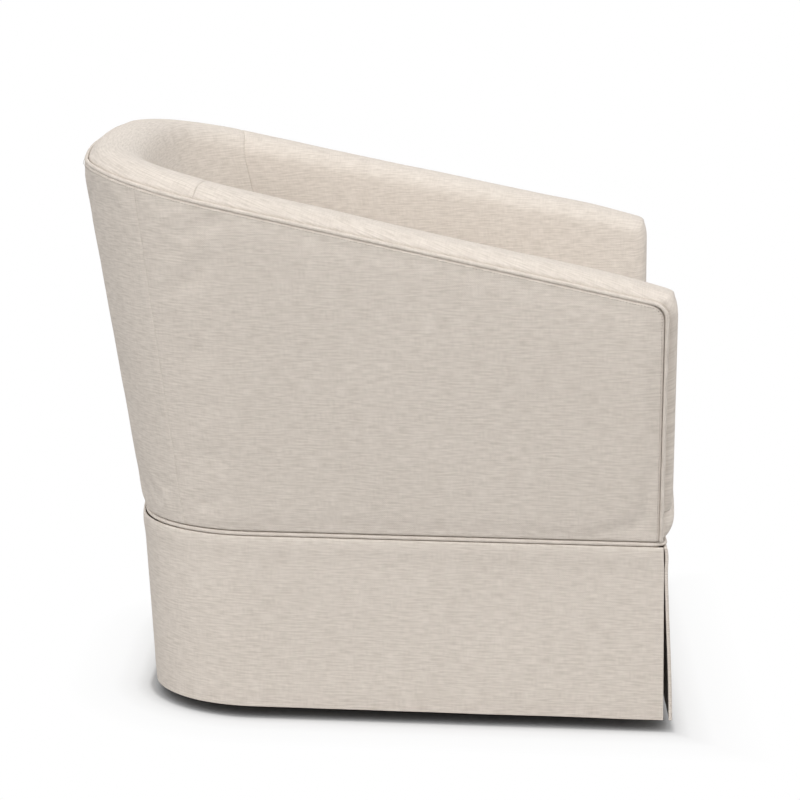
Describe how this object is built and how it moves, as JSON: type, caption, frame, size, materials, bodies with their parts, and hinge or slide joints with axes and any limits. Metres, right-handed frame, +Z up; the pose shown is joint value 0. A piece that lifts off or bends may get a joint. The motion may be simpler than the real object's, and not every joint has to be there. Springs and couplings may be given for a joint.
{
  "type": "swivel barrel chair",
  "caption": "Low upholstered barrel chair that swivels on a hidden ring base, with sloping padded arms, a loose zipped seat cushion and a straight skirt",
  "frame": {"origin": "where the swivel axis meets the floor, in the middle of the chair's width and depth", "axes": "+Z up along the swivel axis, -Y the way the sitter faces, +X to the left hand of the sitter"},
  "size_m": [0.7636, 0.772, 0.7347],
  "materials": {
    "black_paint": "satin black powder coat",
    "glide_nylon": "matt black nylon",
    "zinc_steel": "bright zinc plate",
    "bearing_steel": "polished",
    "cage_nylon": "natural nylon",
    "spring_steel": "dark enamelled spring steel",
    "beech": "sanded hardwood, unfinished",
    "plywood": "sanded plywood, unfinished",
    "fibreboard": "raw upholsterer's fibreboard",
    "dust_cloth": "black spun cloth",
    "foam": "foam wrapped in wadding",
    "deck_lining": "plain lining",
    "linen": "slubbed natural linen weave",
    "zip_tape": "woven zip tape with nylon teeth"
  },
  "bodies": {
    "base": {"base_ring": "black_paint", "base_glides": "glide_nylon", "base_spider": "black_paint", "swivel_lower_plate": "zinc_steel", "swivel_rivet": "zinc_steel", "lower_plate_bolts": "zinc_steel", "lower_plate_nuts": "zinc_steel"},
    "bearing": {"swivel_balls": "bearing_steel", "ball_cage": "cage_nylon"},
    "seat": {"swivel_upper_plate": "zinc_steel", "upper_plate_bolts": "zinc_steel", "tee_nuts": "zinc_steel", "board_screws": "zinc_steel", "seat_springs": "spring_steel", "spring_clips": "spring_steel", "front_rail": "beech", "rear_spring_rail": "beech", "back_rail": "beech", "back_top_rail": "beech", "back_upright_left": "beech", "back_upright_middle": "beech", "back_upright_right": "beech", "cross_rail_left": "beech", "cross_rail_right": "beech", "side_rail_left": "beech", "side_rail_right": "beech", "front_post_left": "beech", "front_post_right": "beech", "arm_rail_left": "beech", "arm_rail_right": "beech", "corner_block_left": "beech", "corner_block_right": "beech", "mounting_board": "plywood", "outer_liner": "fibreboard", "dust_cover": "dust_cloth", "deck_pad": "foam", "deck_cloth": "deck_lining", "outside_arm_left": "linen", "outside_arm_right": "linen", "outside_back": "linen", "inside_arm_left": "linen", "inside_arm_right": "linen", "inside_back": "linen", "crown_arm_left": "linen", "crown_arm_right": "linen", "crown_back": "linen", "arm_front_left": "linen", "arm_front_right": "linen", "front_border": "linen", "rim_welt": "linen", "skirt_welt": "linen", "skirt_side_left": "linen", "skirt_side_right": "linen", "skirt_back": "linen", "skirt_front": "linen"},
    "cushion": {"seat_cushion_case": "linen", "seat_cushion_core": "foam", "seat_cushion_welts": "linen", "cushion_zip": "zip_tape"},
    "zip_slider": {"zip_slider": "zinc_steel"}
  },
  "joints": [
    {"name": "seat_swivel", "type": "hinge", "parent": "base", "child": "seat", "pos_m": [0, 0, 0.0777], "axis": [0, 0, 1], "continuous": true},
    {"name": "bearing_roll", "type": "hinge", "parent": "base", "child": "bearing", "pos_m": [0, 0, 0.0777], "axis": [0, 0, 1], "continuous": true},
    {"name": "cushion_lift", "type": "slide", "parent": "seat", "child": "cushion", "axis": [0, 0, 1], "range_m": [0, 0.42]},
    {"name": "zip_travel", "type": "hinge", "parent": "cushion", "child": "zip_slider", "pos_m": [0, -1.30381, 0.3898], "axis": [0, 0, 1], "range_deg": [-11.7, 0]}
  ],
  "couplings": [
    {"joint": "bearing_roll", "follows": "seat_swivel", "ratio": 0.5}
  ]
}
